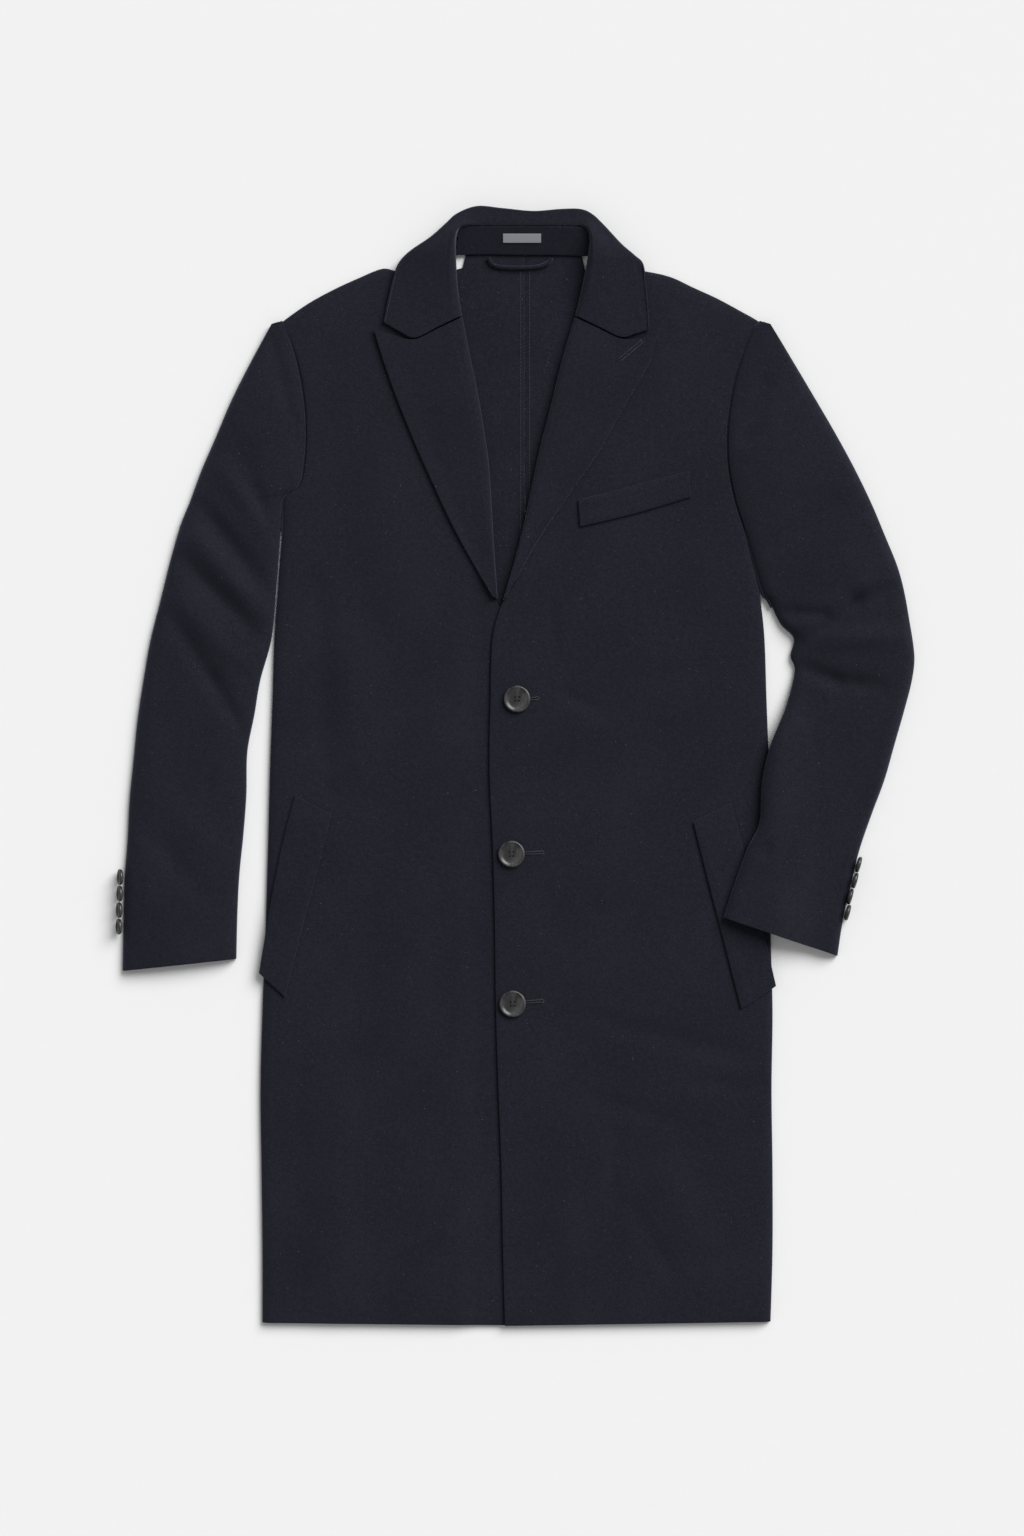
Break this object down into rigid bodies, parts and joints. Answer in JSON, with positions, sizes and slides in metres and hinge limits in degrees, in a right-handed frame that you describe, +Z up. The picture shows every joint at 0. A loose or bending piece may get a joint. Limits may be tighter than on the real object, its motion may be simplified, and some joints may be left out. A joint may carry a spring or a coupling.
{
  "type": "topcoat",
  "caption": "Single-breasted wool topcoat with peak lapels and slanted hip flaps, laid flat on its back and open at the neck.",
  "frame": {"origin": "on the surface the coat lies on, under the middle of its outline", "axes": "+Z up out of the front, +Y from hem to collar, +X toward the wearer's left sleeve"},
  "size_m": [0.7439, 1.0417, 0.0231],
  "materials": {
    "wool": "navy brushed wool, soft nap",
    "horn": "dark horn look, satin polish",
    "label_cloth": "pale grey woven tape, bare"
  },
  "bodies": {
    "root": {"back_left": "wool", "back_right": "wool", "front_left": "wool", "front_right": "wool", "top_sleeve_left": "wool", "under_sleeve_left": "wool", "top_sleeve_right": "wool", "under_sleeve_right": "wool", "lapel_left": "wool", "lapel_right": "wool", "top_collar": "wool", "collar_stand": "wool", "hanger_loop": "wool", "hip_flap_left": "wool", "hip_flap_right": "wool", "chest_welt": "wool", "front_button_1": "horn", "front_button_2": "horn", "front_button_3": "horn", "cuff_button_left_1": "horn", "cuff_button_left_2": "horn", "cuff_button_left_3": "horn", "cuff_button_left_4": "horn", "cuff_button_right_1": "horn", "cuff_button_right_2": "horn", "cuff_button_right_3": "horn", "cuff_button_right_4": "horn", "label": "label_cloth"}
  },
  "joints": []
}
